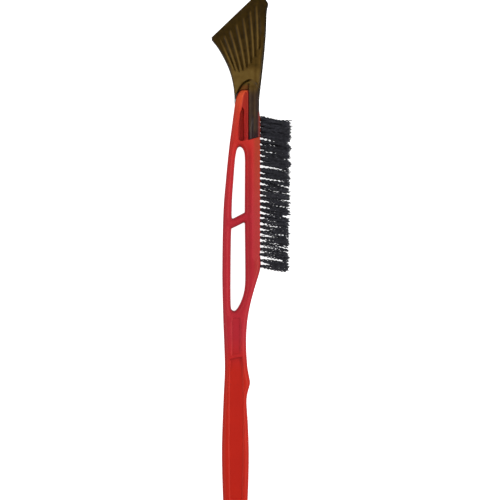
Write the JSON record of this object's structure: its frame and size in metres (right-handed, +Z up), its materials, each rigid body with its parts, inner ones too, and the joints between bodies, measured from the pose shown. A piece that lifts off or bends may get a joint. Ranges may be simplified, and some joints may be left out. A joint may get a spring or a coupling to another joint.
{
  "type": "windshield ice scraper",
  "caption": "Long-handled snow brush with a slanted translucent scraper blade on its end and a side field of bristle tufts.",
  "frame": {"origin": "middle of the object's box, on the surface it lies on (its back face)", "axes": "+X along the handle from the grip to the blade, -Y along the bristles, +Z up out of the front face"},
  "size_m": [0.66, 0.0988, 0.024],
  "materials": {
    "handle_red": "semi-gloss moulded polypropylene",
    "head_amber": "smoky amber translucent polycarbonate, glossy",
    "bristle_black": "crimped black polypropylene filament",
    "anchor_steel": "plain flat wire"
  },
  "bodies": {
    "root": {"handle": "handle_red", "scraper_head": "head_amber", "tuft_row_01": "bristle_black", "tuft_row_02": "bristle_black", "tuft_row_03": "bristle_black", "tuft_row_04": "bristle_black", "tuft_row_05": "bristle_black", "tuft_row_06": "bristle_black", "tuft_row_07": "bristle_black", "tuft_row_08": "bristle_black", "tuft_row_09": "bristle_black", "tuft_row_10": "bristle_black", "tuft_row_11": "bristle_black", "tuft_row_12": "bristle_black", "tuft_row_13": "bristle_black", "tuft_row_14": "bristle_black", "tuft_row_15": "bristle_black", "tuft_row_16": "bristle_black", "tuft_row_17": "bristle_black", "tuft_row_18": "bristle_black", "tuft_row_19": "bristle_black", "tuft_row_20": "bristle_black", "tuft_row_21": "bristle_black", "tuft_row_22": "bristle_black", "tuft_row_23": "bristle_black", "tuft_row_24": "bristle_black", "tuft_row_25": "bristle_black", "tuft_row_26": "bristle_black", "tuft_row_27": "bristle_black"}
  },
  "joints": []
}
